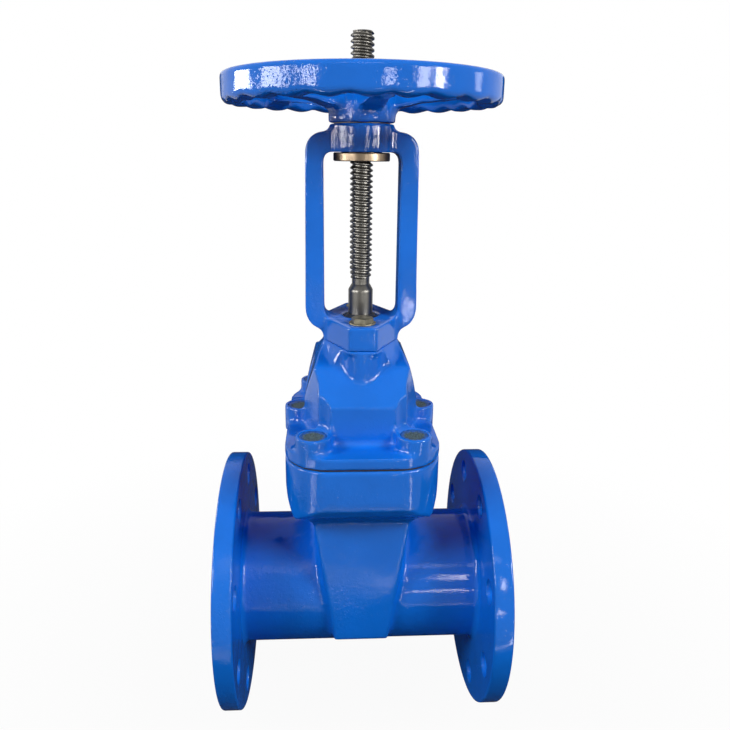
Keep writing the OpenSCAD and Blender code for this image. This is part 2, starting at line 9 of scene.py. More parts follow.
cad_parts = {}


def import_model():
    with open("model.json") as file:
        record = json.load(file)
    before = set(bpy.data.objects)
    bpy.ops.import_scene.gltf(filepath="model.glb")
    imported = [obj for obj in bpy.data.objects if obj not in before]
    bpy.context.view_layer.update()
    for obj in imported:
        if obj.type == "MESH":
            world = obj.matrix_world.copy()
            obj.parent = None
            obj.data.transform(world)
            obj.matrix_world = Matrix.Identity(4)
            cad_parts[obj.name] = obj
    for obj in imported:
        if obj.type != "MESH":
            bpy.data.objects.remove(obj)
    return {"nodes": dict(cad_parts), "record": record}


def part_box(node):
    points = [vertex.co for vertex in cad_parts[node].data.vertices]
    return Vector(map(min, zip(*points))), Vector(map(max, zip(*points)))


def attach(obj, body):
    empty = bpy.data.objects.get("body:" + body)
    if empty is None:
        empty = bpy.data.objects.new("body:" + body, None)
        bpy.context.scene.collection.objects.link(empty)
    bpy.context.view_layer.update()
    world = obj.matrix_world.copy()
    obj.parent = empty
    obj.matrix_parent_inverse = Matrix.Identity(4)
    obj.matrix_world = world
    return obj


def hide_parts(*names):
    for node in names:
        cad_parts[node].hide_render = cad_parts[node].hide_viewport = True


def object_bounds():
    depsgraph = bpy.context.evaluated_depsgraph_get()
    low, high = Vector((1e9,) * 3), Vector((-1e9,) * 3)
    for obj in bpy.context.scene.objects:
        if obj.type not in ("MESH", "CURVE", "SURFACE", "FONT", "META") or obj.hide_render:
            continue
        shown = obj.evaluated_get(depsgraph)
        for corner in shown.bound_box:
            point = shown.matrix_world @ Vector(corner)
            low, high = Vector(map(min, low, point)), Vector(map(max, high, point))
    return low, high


bl_info = {
    "name": "Flanged gate valve",
    "version": (1, 0, 0),
    "blender": (4, 5, 0),
    "location": "View3D > Sidebar > Valve",
    "description": "Cast, turned and coated pieces for a flanged rising-stem gate valve",
    "category": "Add Mesh",
}

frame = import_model()
CAD_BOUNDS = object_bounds()
MM = 0.001
UP = Vector((0, 0, 1))


# ---- Places taken from the frame ----

def low(node):
    """Lowest corner of a node's box."""
    return Vector(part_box(node)[0])


def high(node):
    """Highest corner of a node's box."""
    return Vector(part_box(node)[1])


def middle(node):
    """Centre of a node's box."""
    return (low(node) + high(node)) / 2


def half_width(node):
    """Half of a node's box across the valve, which is the radius of a round one."""
    return (high(node).x - low(node).x) / 2


# The stem's axis is upright, and the flow runs along X from the inlet's face at 0.
AXIS = Vector((*middle("stem").xy, 0))
FACE_TO_FACE = high("body").x
FLANGE_R = -low("body").z
GROUND = CAD_BOUNDS[0][2]
BOLTS = next(m for m in frame["record"]["mounts"] if m["name"] == "inlet_bolts")
RAISED = abs(BOLTS["pos_m"][0])


# ---- Settings that a user would change ----

def length(title, text, millimetres):
    """A length property, given in millimetres."""
    return bpy.props.FloatProperty(name=title, description=text, default=millimetres * MM,
                                   unit="LENGTH", precision=4)


def tone(title, text, red, green, blue):
    """A colour property."""
    return bpy.props.FloatVectorProperty(name=title, description=text, subtype="COLOR", size=3,
                                         min=0, max=1, default=(red, green, blue))


class ValveSizes(bpy.types.PropertyGroup):
    """Sizes of the modelled pieces."""
    body_grain: length("Body grain", "Mesh size of the cast body", 1.9)
    casting_grain: length("Casting grain", "Mesh size of the smaller castings", 1.2)
    fillet: length("Casting fillet", "Radius of the castings' inside corners", 2.6)
    rim_t: length("Flange rim", "Thickness of the flanges without the raised face", 15.5)
    pipe_r: length("Pipe radius", "Outside radius of the pipe stubs", 55.5)
    bore_r: length("Bore radius", "Radius of the flow bore", 50.0)
    raised_r: length("Raised face", "Radius of the raised sealing faces", 78.0)
    root_fillet: length("Root fillet", "Fillet between pipe and flange", 5.0)
    wheel_rim_w: length("Rim width", "Width of the handwheel's rim", 16.0)
    wheel_rim_h: length("Rim height", "Height of the handwheel's rim", 21.0)
    lobe_depth: length("Finger lobes", "Depth of the wave along the rim's lower edge", 3.8)
    thread_pitch: length("Thread pitch", "Rise of the stem's thread in one turn", 4.0)
    thread_depth: length("Thread depth", "Depth of the stem's thread", 1.8)


class ValveColours(bpy.types.PropertyGroup):
    """Colours of the finishes."""
    paint: tone("Epoxy", "Coating of the castings", 0.004, 0.148, 0.650)
    bronze: tone("Bronze", "Drive nut and bushes", 0.150, 0.112, 0.076)
    steel: tone("Stainless steel", "Stem", 0.105, 0.100, 0.090)
    zinc: tone("Zinc plating", "Yoke bolts and washers", 0.17, 0.155, 0.110)
    rubber: tone("Rubber", "Gate, gasket and wiper", 0.007, 0.010, 0.018)
    wax: tone("Sealing compound", "Plugs over the bonnet screws", 0.030, 0.048, 0.050)


# ---- Shader maths ----

class Value:
    """A shader socket that takes part in Python sums."""

    def __init__(self, shader, socket):
        self.shader = shader
        self.socket = socket

    def __add__(self, other):
        return self.shader.add("ShaderNodeMath", {"operation": "ADD"}, self, other)

    def __mul__(self, other):
        return self.shader.add("ShaderNodeMath", {"operation": "MULTIPLY"}, self, other)

    def clamped(self, from_low, from_high, to_low=0.0, to_high=1.0):
        """Maps a range of this value to another range, held at its ends."""
        return self.shader.add("ShaderNodeMapRange", {"clamp": True}, self, from_low, from_high,
                               to_low, to_high)


class Shader:
    """Builds one procedural material on Object coordinates."""

    def __init__(self, name):
        self.material = bpy.data.materials.new(name)
        self.material.use_nodes = True
        self.tree = self.material.node_tree
        self.surface = next(n for n in self.tree.nodes if n.type == "BSDF_PRINCIPLED")
        self.place = Value(self, self.tree.nodes.new("ShaderNodeTexCoord").outputs["Object"])

    def join(self, socket, value):
        """Links a value to a socket, or sets a plain one."""
        if isinstance(value, Value):
            self.tree.links.new(value.socket, socket)
        else:
            socket.default_value = value

    def add(self, kind, settings, *inputs, output=0, **named):
        """Adds a node: its settings first, then values or links for its sockets."""
        node = self.tree.nodes.new(kind)
        for key, value in settings.items():
            setattr(node, key, value)
        for socket, value in zip(node.inputs, inputs):
            self.join(socket, value)
        for key, value in named.items():
            self.join(node.inputs[key], value)
        return Value(self, node.outputs[output])

    def stretched(self, x, y, z):
        """Object coordinates scaled along each axis."""
        return self.add("ShaderNodeMapping", {"vector_type": "POINT"}, self.place, Scale=(x, y, z))

    def across(self, axis):
        """One of the Object coordinates."""
        return self.add("ShaderNodeSeparateXYZ", {}, self.place, output=axis)

    def noise(self, scale, detail=2.0, rough=0.5, place=None):
        """Soft noise, with so many features to the metre."""
        return self.add("ShaderNodeTexNoise", {}, Vector=place or self.place, Scale=scale,
                        Detail=detail, Roughness=rough, output="Fac")

    def grains(self, scale):
        """Distance to the nearest of many scattered points."""
        return self.add("ShaderNodeTexVoronoi", {"feature": "F1"}, Vector=self.place, Scale=scale,
                        output="Distance")

    def blend(self, amount, first, second):
        """Mixes two colours."""
        node = self.tree.nodes.new("ShaderNodeMix")
        node.data_type = "RGBA"
        self.join(node.inputs["Factor"], amount)
        for name, colour in (("A", first), ("B", second)):
            socket = next(s for s in node.inputs if s.name == name and s.type == "RGBA")
            self.join(socket, colour if isinstance(colour, Value) else (*colour, 1.0))
        return Value(self, next(s for s in node.outputs if s.type == "RGBA"))

    def bump(self, height, distance, strength, under=None):
        """A normal bent by a height, over another bump if one is given."""
        inputs = {"Height": height, "Distance": distance, "Strength": strength}
        if under:
            inputs["Normal"] = under
        return self.add("ShaderNodeBump", {}, **inputs, output="Normal")

    def finish(self, **sockets):
        """Sets the surface's sockets, named in lower case, and gives the material."""
        for name, value in sockets.items():
            name = name.replace("_", " ").title().replace("Ior", "IOR")
            self.join(self.surface.inputs[name], value)
        return self.material


def shade(colour, factor):
    """A colour made lighter or darker."""
    return tuple(min(1.0, c * factor) for c in colour)


def epoxy(name, colour):
    """Thick glossy epoxy on a sand casting: slow waves, orange peel and tiny nibs.

    The peel and the nibs come in patches and fade from the inlet's side to the outlet's."""
    s = Shader(name)
    waves = s.noise(38.0, 2.0)
    peel = s.noise(300.0, 3.0, 0.6)
    nibs = s.grains(380.0).clamped(0.0, 0.22, 1.0, 0.0)
    coarse = s.across("X").clamped(AXIS.x - 0.04, AXIS.x + 0.02, 1.0, 0.3)
    patchy = s.noise(26.0, 2.0).clamped(0.34, 0.56) * coarse
    tone = s.noise(24.0, 3.0).clamped(0.35, 0.65)
    normal = s.bump(waves, 0.8 * MM, 0.30)
    normal = s.bump(peel * patchy, 0.60 * MM, 0.75, normal)
    normal = s.bump(s.noise(800.0, 2.0), 0.03 * MM, 0.6, normal)
    normal = s.bump(nibs * patchy, 0.35 * MM, 0.9, normal)
    return s.finish(
        base_color=s.blend(tone, shade(colour, 0.94), shade(colour, 1.05)),
        roughness=s.noise(140.0, 2.0).clamped(0.3, 0.7, 0.03, 0.06), specular_ior_level=0.19,
        normal=normal)


def steel(name, colour, roughness):
    """Turned or rolled steel with fine circular tool marks and dulled patches."""
    s = Shader(name)
    marks = s.noise(1.0, 3.0, 0.6, s.stretched(90.0, 90.0, 2600.0))
    patches = s.noise(130.0, 3.0)
    return s.finish(
        base_color=s.blend(patches.clamped(0.35, 0.7), colour, shade(colour, 0.72)),
        metallic=1.0,
        roughness=patches * 0.14 + (roughness - 0.05),
        normal=s.bump(marks, 0.05 * MM, 0.25))


def plated(name, colour):
    """Yellowish zinc plating on forged steel, worn dull, with a faint grain."""
    s = Shader(name)
    wear = s.noise(210.0, 4.0, 0.6).clamped(0.35, 0.7)
    grain = s.noise(900.0, 2.0)
    return s.finish(
        base_color=s.blend(wear, colour, shade(colour, 0.45)),
        metallic=s.noise(160.0, 2.0).clamped(0.3, 0.6, 0.75, 1.0),
        roughness=wear * 0.2 + 0.36,
        normal=s.bump(grain, 0.08 * MM, 0.5))


def bronze(name, colour):
    """Turned bronze with fine rings and faint tarnish."""
    s = Shader(name)
    marks = s.noise(1.0, 3.0, 0.6, s.stretched(60.0, 60.0, 2200.0))
    tarnish = s.noise(90.0, 4.0).clamped(0.4, 0.75)
    return s.finish(
        base_color=s.blend(tarnish, colour, shade(colour, 0.6)),
        metallic=1.0, roughness=tarnish * 0.15 + 0.30, normal=s.bump(marks, 0.05 * MM, 0.4))


def rubber(name, colour):
    """Moulded rubber: dull, with a faint bloom and a fine grain."""
    s = Shader(name)
    bloom = s.noise(60.0, 4.0).clamped(0.45, 0.8)
    return s.finish(
        base_color=s.blend(bloom, colour, shade(colour, 2.2)),
        roughness=bloom * 0.15 + 0.55, specular_ior_level=0.2,
        normal=s.bump(s.noise(900.0, 2.0), 0.05 * MM, 0.4))


def compound(name, colour):
    """Grainy grey-green sealing compound, set unevenly, with paint drawn over its edge."""
    s = Shader(name)
    lumps = s.noise(420.0, 4.0, 0.65)
    sand = s.noise(900.0, 3.0, 0.7).clamped(0.46, 0.62)
    rim = s.add("ShaderNodeAttribute", {"attribute_name": "rim"}, output="Fac")
    overspray = (rim + lumps * 0.7).clamped(1.02, 1.28)
    ground = s.blend(sand, colour, shade(colour, 3.0))
    return s.finish(
        base_color=s.blend(overspray, ground, shade(bpy.context.scene.valve_colours.paint, 0.55)),
        roughness=overspray * -0.30 + 0.62, specular_ior_level=0.3,
        normal=s.bump(lumps, 0.9 * MM, 0.9))


def finish_of(slot):
    """The material for a slot of the record, made when it is first asked for."""
    tones = bpy.context.scene.valve_colours
    name = f"coat_of_{slot}"
    if name not in bpy.data.materials:
        if slot == "blue_epoxy":
            epoxy(name, tuple(tones.paint))
        elif slot == "stainless_steel":
            steel(name, tuple(tones.steel), 0.34)
        elif slot == "zinc_steel":
            plated(name, tuple(tones.zinc))
        elif slot == "dark_steel":
            steel(name, shade(tuple(tones.steel), 0.4), 0.45)
        elif slot == "brass":
            bronze(name, tuple(tones.bronze))
        elif slot == "black_rubber":
            rubber(name, tuple(tones.rubber))
        elif slot == "sealing_wax":
            compound(name, tuple(tones.wax))
    return bpy.data.materials[name]


# ---- Mesh helpers ----

def loose_object(name, bm):
    """An object in the scene from a bmesh, which is freed."""
    mesh = bpy.data.meshes.new(name)
    bm.to_mesh(mesh)
    bm.free()
    obj = bpy.data.objects.new(name, mesh)
    bpy.context.scene.collection.objects.link(obj)
    return obj


def dress(obj, finish, body, *nodes):
    """Coats a piece, lets it ride on its body and stand for CAD nodes."""
    obj.data.materials.clear()
    obj.data.materials.append(finish_of(finish))
    obj.data.shade_smooth()
    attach(obj, body)
    if nodes:
        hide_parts(*nodes)
    return obj


def crease(obj, degrees):
    """Keeps edges sharper than an angle crisp in the shading."""
    obj.data.set_sharp_from_angle(angle=math.radians(degrees))


def settle(obj):
    """Applies an object's modifiers to its mesh."""
    graph = bpy.context.evaluated_depsgraph_get()
    mesh = bpy.data.meshes.new_from_object(obj.evaluated_get(graph))
    obj.modifiers.clear()
    obj.data = mesh


def cad_copy(node):
    """A merged bmesh of a CAD node's mesh."""
    bm = bmesh.new()
    bm.from_mesh(frame["nodes"][node].data)
    bmesh.ops.remove_doubles(bm, verts=bm.verts, dist=0.002 * MM)
    return bm


def cast_skin(obj, grain, fillet, passes, softness=None):
    """Gives a piece the skin of a casting: filled inside corners, then softened edges.

    softness(point) is 1 where the edges are rounded fully and 0 where they stay crisp."""
    for shift in (fillet, -fillet):
        skin = obj.modifiers.new("Skin", "REMESH")
        skin.mode = "VOXEL"
        skin.voxel_size = grain
        swell = obj.modifiers.new("Swell", "DISPLACE")
        swell.mid_level = 0.0
        swell.strength = shift
    settle(obj)
    soften(obj, passes, softness)


def soften(obj, passes, softness=None):
    """Rounds the edges of a fine mesh evenly, or more where softness(point) is near 1."""
    rounding = obj.modifiers.new("Rounding", "SMOOTH")
    rounding.factor = 0.5
    rounding.iterations = passes
    if softness:
        group = obj.vertex_groups.new(name="rounding")
        steps = {}
        for v in obj.data.vertices:
            steps.setdefault(round(20 * softness(v.co)), []).append(v.index)
        for step, members in steps.items():
            group.add(members, step / 20, "REPLACE")
        rounding.vertex_group = group.name
    settle(obj)
    obj.vertex_groups.clear()


def ramp(value, start, end):
    """0 before start, 1 after end, smooth between."""
    t = max(0.0, min(1.0, (value - start) / (end - start)))
    return t * t * (3 - 2 * t)


def arc(x, y, r, start, end, steps):
    """Points of an arc from one angle to another, in degrees."""
    angles = [math.radians(start + (end - start) * k / steps) for k in range(steps + 1)]
    return [(x + r * math.cos(a), y + r * math.sin(a)) for a in angles]


def rounded(corners, r, steps):
    """Rounds the corners of a closed outline of (x, y) points."""
    points = []
    count = len(corners)
    for i, corner in enumerate(corners):
        here = Vector(corner)
        back = Vector(corners[i - 1]) - here
        ahead = Vector(corners[(i + 1) % count]) - here
        cut = min(r, back.length * 0.45, ahead.length * 0.45)
        start = here + back.normalized() * cut
        end = here + ahead.normalized() * cut
        for k in range(steps + 1):
            t = k / steps
            points.append(tuple(start * (1 - t) ** 2 + here * 2 * t * (1 - t) + end * t ** 2))
    return points


def lathe(profile, steps=96, centre=AXIS):
    """A closed bmesh turned from an outline of (radius, height) points about an upright axis.

    The outline starts on the inlet's side, and may begin and end on the axis."""
    bm = bmesh.new()
    ring = [bm.verts.new(centre + Vector((-r, 0, h))) for r, h in profile]
    edges = [bm.edges.new(pair) for pair in zip(ring, ring[1:])]
    if min(r for r, h in profile) > 0:
        edges.append(bm.edges.new((ring[-1], ring[0])))
    bmesh.ops.spin(bm, geom=ring + edges, cent=centre, axis=UP, angle=2 * math.pi, steps=steps,
                   use_merge=True)
    bmesh.ops.remove_doubles(bm, verts=bm.verts, dist=0.001 * MM)
    bmesh.ops.recalc_face_normals(bm, faces=bm.faces)
    return bm


def prism(centre, r, bottom, top, turn):
    """A closed upright prism with six sides."""
    bm = bmesh.new()
    place = Matrix.Translation((centre.x, centre.y, bottom)) @ Matrix.Rotation(turn, 4, "Z")
    bmesh.ops.create_circle(bm, cap_ends=True, segments=6, radius=r, matrix=place)
    top_face = bmesh.ops.extrude_face_region(bm, geom=bm.faces[:])["geom"]
    bmesh.ops.translate(bm, verts=[g for g in top_face if isinstance(g, bmesh.types.BMVert)],
                        vec=UP * (top - bottom))
    bmesh.ops.recalc_face_normals(bm, faces=bm.faces)
    return bm


def combine(obj, bm, operation):
    """Adds, cuts or intersects a piece with a bmesh, which is freed."""
    tool = loose_object("tool", bm)
    step = obj.modifiers.new("Combine", "BOOLEAN")
    step.operation = operation
    step.solver = "EXACT"
    step.object = tool
    settle(obj)
    mesh = tool.data
    bpy.data.objects.remove(tool)
    bpy.data.meshes.remove(mesh)


def joined(*parts):
    """One bmesh from several, which are freed."""
    whole = bmesh.new()
    for bm in parts:
        mesh = bpy.data.meshes.new("part")
        bm.to_mesh(mesh)
        bm.free()
        whole.from_mesh(mesh)
        bpy.data.meshes.remove(mesh)
    return whole


# ---- Body ----

# Steps round the edges of a bolt hole, a flange and a raised face.
HOLE_STEPS = 48
RIM_STEPS = 256
RAISED_STEPS = 192
# Turns, in radians, at which a flat area is filled until one leaves no gap.
FILL_TURNS = (0.37, 0.83, 1.31, 1.93, 2.41, 2.87)


def grown_ring(bm, edges, stations, centre=Vector()):
    """Extrudes a loop of edges through (radius, x) stations about an axis along the flow."""
    for radius, x in stations:
        grown = bmesh.ops.extrude_edge_only(bm, edges=edges)["geom"]
        edges = [g for g in grown if isinstance(g, bmesh.types.BMEdge) and g.is_boundary]
        for v in {v for e in edges for v in e.verts}:
            spoke = Vector((0, v.co.y - centre.y, v.co.z - centre.z)).normalized() * radius
            v.co = Vector((x, centre.y + spoke.y, centre.z + spoke.z))
    return edges


def loop_at(bm, centre, r, steps):
    """A separate circle of edges in a plane across the flow."""
    place = Matrix.Translation(centre) @ Matrix.Rotation(math.pi / 2, 4, "Y")
    circle = bmesh.ops.create_circle(bm, cap_ends=False, segments=steps, radius=r, matrix=place)
    return list(dict.fromkeys(e for v in circle["verts"] for e in v.link_edges))


def fill_between(bm, loops):
    """Closes the flat area across the flow between an outer loop and the loops inside it.

    Points that line up can leave a gap, so the fill is tried at several turns until it is whole."""
    edges = [e for loop in loops for e in loop]
    faces = []
    for angle in FILL_TURNS:
        bmesh.ops.delete(bm, geom=faces, context="FACES")
        turn = Matrix.Rotation(angle, 4, "X")
        bmesh.ops.transform(bm, verts=bm.verts, matrix=turn)
        filled = bmesh.ops.triangle_fill(bm, use_beauty=True, use_dissolve=False, edges=edges)
        bmesh.ops.transform(bm, verts=bm.verts, matrix=turn.inverted())
        faces = [g for g in filled["geom"] if isinstance(g, bmesh.types.BMFace)]
        if all(len(e.link_faces) == 2 for e in {*edges, *(e for f in faces for e in f.edges)}):
            break


def panel_sizes():
    """The sizes set in the panel."""
    return bpy.context.scene.valve_sizes


def flange(pipe, x, side):
    """A flange with its bolt holes, grown from the open end of the pipe at x.

    side is 1 where the flange faces back along the flow, and -1 where it faces onwards."""
    sizes = panel_sizes()
    face = 0.0 if side > 0 else FACE_TO_FACE
    front = RAISED
    back = RAISED + sizes.rim_t
    edge_r = 1.6 * MM
    step_r = 0.5 * MM
    chamfer = 0.3 * MM
    # a narrow flat ring beside each rounded edge keeps its shading clean
    guard = 0.9 * MM
    hole_r = BOLTS["dims"]["hole_r_mm"] * MM
    circle_r = BOLTS["dims"]["pcd_mm"] * MM / 2
    fillet = sizes.root_fillet

    def at(points):
        """Places (radius, depth below the raised face) points along the flow."""
        return [(r, face + side * depth) for r, depth in points]

    def bend(r, depth, radius, start, end, steps):
        """An arc whose angles start from the depth instead of from the radius."""
        return [(y, x) for x, y in arc(depth, r, radius, start, end, steps)]

    def from_bore(edge):
        return Vector((0, *edge.verts[0].co.yz)).length

    ends = [e for e in pipe.edges
            if e.is_boundary and all(abs(v.co.x - x) < 0.01 * MM for v in e.verts)]
    bm = bmesh.new()
    twins = {v: bm.verts.new(v.co) for v in dict.fromkeys(v for e in ends for v in e.verts)}
    for e in ends:
        bm.edges.new([twins[v] for v in e.verts])
    split = (sizes.pipe_r + sizes.bore_r) / 2
    outer = [e for e in bm.edges if from_bore(e) > split]
    inner = [e for e in bm.edges if from_bore(e) <= split]
    root = bend(sizes.pipe_r + fillet, back + fillet, fillet, -90, -180, 8)
    foot = grown_ring(bm, outer, at([*root, (sizes.pipe_r + fillet + guard, back)]))
    # the rim starts as a separate circle, so that the drilled face between can be filled
    round_r = FLANGE_R - edge_r
    rim = loop_at(bm, Vector((face + side * back, 0, 0)), round_r - guard, RIM_STEPS)
    rim_front = grown_ring(bm, rim, at([
        (round_r, back), *arc(round_r, back - edge_r, edge_r, 90, 0, 4)[1:],
        *arc(round_r, front + edge_r, edge_r, 0, -90, 4), (round_r - guard, front)]))
    raised_back = loop_at(bm, Vector((face + side * front, 0, 0)),
                          sizes.raised_r + step_r + guard, RAISED_STEPS)
    raised = grown_ring(bm, raised_back, at([
        (sizes.raised_r + step_r, front),
        *arc(sizes.raised_r - step_r, step_r, step_r, 0, -90, 3),
        (sizes.raised_r - step_r - guard, 0)]))
    count = BOLTS["dims"]["count"]
    backs, fronts = [], []
    for i in range(count):
        angle = 2 * math.pi * (i + 0.5) / count
        spoke = Vector((0, math.cos(angle), math.sin(angle))) * circle_r
        centre = Vector((face + side * back, *spoke.yz))
        backs.append(loop_at(bm, centre, hole_r + 2 * guard, HOLE_STEPS))
        fronts.append(grown_ring(bm, backs[-1], at([
            (hole_r + guard, back), (hole_r + chamfer, back - chamfer), (hole_r, back - guard),
            (hole_r, front + guard), (hole_r + chamfer, front + chamfer),
            (hole_r + guard, front), (hole_r + 2 * guard, front)]), centre))
    fill_between(bm, [foot, rim, *backs])
    fill_between(bm, [rim_front, raised_back, *fronts])
    bore = grown_ring(bm, inner, at([
        (sizes.bore_r, 2 * guard), *bend(sizes.bore_r + guard, guard, guard, -90, -180, 4),
        (sizes.bore_r + 2 * guard, 0)]))
    fill_between(bm, [raised, bore])
    return bm


def true_rounds(bm, sizes):
    """Draws the pipe and the bore of the remeshed casting back to true cylinders."""
    for v in bm.verts:
        across = Vector((0, v.co.y, v.co.z))
        for r in (sizes.pipe_r, sizes.bore_r):
            miss = abs(across.length - r)
            pull = 1 - ramp(miss, 0.35 * MM, 0.8 * MM)
            if pull > 0:
                goal = across.normalized() * r
                v.co.y += (goal.y - v.co.y) * pull
                v.co.z += (goal.z - v.co.z) * pull


class VALVE_OT_body(bpy.types.Operator):
    """Cast body with its two drilled flanges"""
    bl_idname = "valve.body"
    bl_label = "Body"

    def execute(self, context):
        sizes = panel_sizes()
        # the casting is remeshed a little past the seams where the fine flanges join it
        seam = RAISED + sizes.rim_t + sizes.root_fillet + 5 * MM
        past = 2 * MM
        bm = cad_copy("body")
        for x, outwards in ((seam - past, -1), (FACE_TO_FACE - seam + past, 1)):
            cut(bm, x, outwards)
            fill_between(bm, [[e for e in bm.edges if e.is_boundary]])
        bmesh.ops.recalc_face_normals(bm, faces=bm.faces)
        obj = loose_object("cast_body", bm)
        cast_skin(obj, sizes.body_grain, fillet=4 * MM, passes=2)
        bm = bmesh.new()
        bm.from_mesh(obj.data)
        true_rounds(bm, sizes)
        for x, outwards in ((seam, -1), (FACE_TO_FACE - seam, 1)):
            cut(bm, x, outwards)
            rims = [v for v in bm.verts if v.is_boundary]
            bmesh.ops.remove_doubles(bm, verts=rims, dist=0.3 * MM)
        bm = joined(flange(bm, seam, 1), flange(bm, FACE_TO_FACE - seam, -1), bm)
        bmesh.ops.remove_doubles(bm, verts=bm.verts, dist=0.002 * MM)
        bmesh.ops.recalc_face_normals(bm, faces=bm.faces)
        bm.to_mesh(obj.data)
        bm.free()
        dress(obj, "blue_epoxy", "valve_body", "body")
        return {"FINISHED"}


def cut(bm, x, outwards):
    """Cuts off all that lies beyond a plane across the flow."""
    bmesh.ops.bisect_plane(bm, geom=bm.verts[:] + bm.edges[:] + bm.faces[:], plane_co=(x, 0, 0),
                           plane_no=(outwards, 0, 0), clear_outer=True)


# ---- Bonnet, yoke and handwheel ----

class VALVE_OT_bonnet(bpy.types.Operator):
    """Cast bonnet with its screw bosses"""
    bl_idname = "valve.bonnet"
    bl_label = "Bonnet"

    def execute(self, context):
        sizes = panel_sizes()
        obj = loose_object("cast_bonnet", cad_copy("bonnet"))
        cast_skin(obj, sizes.casting_grain, sizes.fillet, passes=3)
        dress(obj, "blue_epoxy", "valve_body", "bonnet")
        return {"FINISHED"}


class VALVE_OT_yoke(bpy.types.Operator):
    """Cast yoke with well-rounded arms"""
    bl_idname = "valve.yoke"
    bl_label = "Yoke"

    def execute(self, context):
        sizes = panel_sizes()
        obj = loose_object("cast_yoke", cad_copy("yoke"))
        arm_start = 25 * MM
        arm_full = 31 * MM

        def softness(point):
            return ramp(abs(point.x - AXIS.x), arm_start, arm_full)

        cast_skin(obj, sizes.casting_grain, sizes.fillet, passes=3)
        soften(obj, passes=16, softness=softness)
        dress(obj, "blue_epoxy", "valve_body", "yoke")
        return {"FINISHED"}


def rim_ring(sizes):
    """The handwheel's rim, its lower edge waved to fit fingers."""
    r_out = half_width("handwheel")
    r_in = r_out - sizes.wheel_rim_w
    top = high("handwheel").z
    bottom = top - sizes.wheel_rim_h
    under, over, inner = 5 * MM, 3 * MM, 4 * MM
    profile = [(r_in + inner, bottom), (r_out - under, bottom)]
    profile += arc(r_out - under, bottom + under, under, -90, 0, 5)
    profile += arc(r_out - over, top - over, over, 0, 90, 4)
    profile += arc(r_in + over, top - over, over, 90, 180, 4)
    profile += arc(r_in + inner, bottom + inner, inner, 180, 270, 4)[:-1]
    bm = lathe(profile, 288)
    lobes = 24
    wave_height = 9 * MM
    full_depth = 8 * MM
    for v in bm.verts:
        inwards = r_out - (v.co - AXIS).to_2d().length
        share = 1 - ramp(v.co.z, bottom, bottom + wave_height)
        share *= 0.3 + 0.7 * ramp(inwards, 0, full_depth)
        angle = math.atan2(v.co.y - AXIS.y, v.co.x - AXIS.x)
        v.co.z += share * sizes.lobe_depth * (1 - abs(math.cos(lobes * angle / 2)))
    return bm


class VALVE_OT_handwheel(bpy.types.Operator):
    """Cast handwheel with a waved rim"""
    bl_idname = "valve.handwheel"
    bl_label = "Handwheel"

    def execute(self, context):
        sizes = panel_sizes()
        obj = loose_object("cast_handwheel", cad_copy("handwheel"))
        # the hub and spokes of the CAD end inside the new rim
        spoke_r = half_width("handwheel") - 8 * MM
        under = low("handwheel").z - 5 * MM
        over = high("handwheel").z + 5 * MM
        combine(obj, lathe([(0, under), (spoke_r, under), (spoke_r, over), (0, over)]), "INTERSECT")
        bm = bmesh.new()
        bm.from_mesh(obj.data)
        bm = joined(bm, rim_ring(sizes))
        bm.to_mesh(obj.data)
        bm.free()
        cast_skin(obj, sizes.casting_grain, fillet=4.5 * MM, passes=3)
        dress(obj, "blue_epoxy", "drive", "handwheel")
        return {"FINISHED"}


# ---- Gate, stem and drive ----

class VALVE_OT_gate(bpy.types.Operator):
    """Rubber-covered wedge"""
    bl_idname = "valve.gate"
    bl_label = "Gate"

    def execute(self, context):
        obj = loose_object("rubber_wedge", cad_copy("gate"))
        cast_skin(obj, grain=1.4 * MM, fillet=1.5 * MM, passes=5)
        dress(obj, "black_rubber", "stem_and_gate", "gate")
        return {"FINISHED"}


def thread(name, sizes, r, bottom, top):
    """A closed left-hand thread between two heights."""
    steps = 48
    pitch = sizes.thread_pitch
    root = r - sizes.thread_depth
    foot = root + 0.25 * MM
    crest = r - 0.2 * MM
    # one tooth: radius, and height as a share of the pitch
    tooth = [(root, 0.0), (root, 0.16), (foot, 0.22), (crest, 0.36), (r, 0.42), (r, 0.60),
             (crest, 0.66), (foot, 0.90), (root, 1.0)]
    bm = bmesh.new()
    verts = [bm.verts.new(AXIS + Vector((x, 0, bottom + (h - 1) * pitch))) for x, h in tooth]
    edges = [bm.edges.new(pair) for pair in zip(verts, verts[1:])]
    bmesh.ops.spin(bm, geom=verts + edges, cent=AXIS, axis=UP, dvec=UP * (pitch / steps),
                   angle=-2 * math.pi, steps=steps)
    obj = loose_object(name, bm)
    turns = obj.modifiers.new("Turns", "ARRAY")
    turns.use_relative_offset = False
    turns.use_constant_offset = True
    turns.constant_offset_displace = UP * pitch
    turns.count = math.ceil((top - bottom) / pitch) + 2
    turns.use_merge_vertices = True
    turns.merge_threshold = 0.005 * MM
    settle(obj)
    bm = bmesh.new()
    bm.from_mesh(obj.data)
    for height, normal in ((bottom, -UP), (top, UP)):
        bmesh.ops.bisect_plane(bm, geom=bm.verts[:] + bm.edges[:] + bm.faces[:],
                               plane_co=(0, 0, height), plane_no=normal, clear_outer=True)
        rim = [e for e in bm.edges
               if e.is_boundary and abs(e.verts[0].co.z - height) < 0.01 * MM]
        bmesh.ops.edgenet_fill(bm, edges=rim)
    bmesh.ops.recalc_face_normals(bm, faces=bm.faces)
    bm.to_mesh(obj.data)
    bm.free()
    return obj


